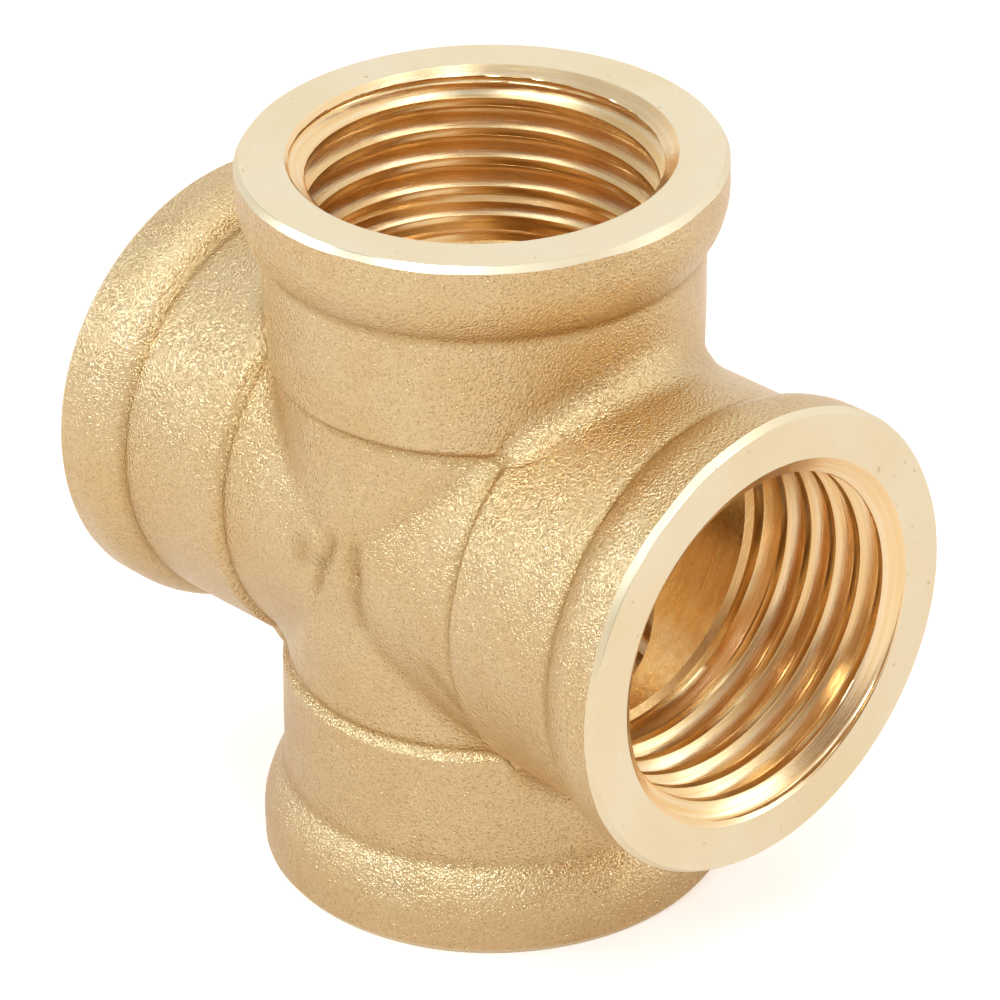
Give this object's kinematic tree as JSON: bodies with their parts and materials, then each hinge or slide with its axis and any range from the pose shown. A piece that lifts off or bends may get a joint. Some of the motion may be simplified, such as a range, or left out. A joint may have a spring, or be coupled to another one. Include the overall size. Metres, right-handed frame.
{
  "type": "pipe cross",
  "caption": "Pipe cross forged in one piece of brass, with a short female threaded port on each arm, a raised bead round each port and machined faces.",
  "frame": {"origin": "where the axes of the ports cross, which is the middle of the body", "axes": "+Z along the upper port, +X along the right port, Y through the thin direction of the body"},
  "size_m": [0.043, 0.0266, 0.043],
  "materials": {
    "brass": "blasted forged skin, with bright machined faces and threads"
  },
  "bodies": {
    "root": {"cross_body": "brass"}
  },
  "joints": []
}
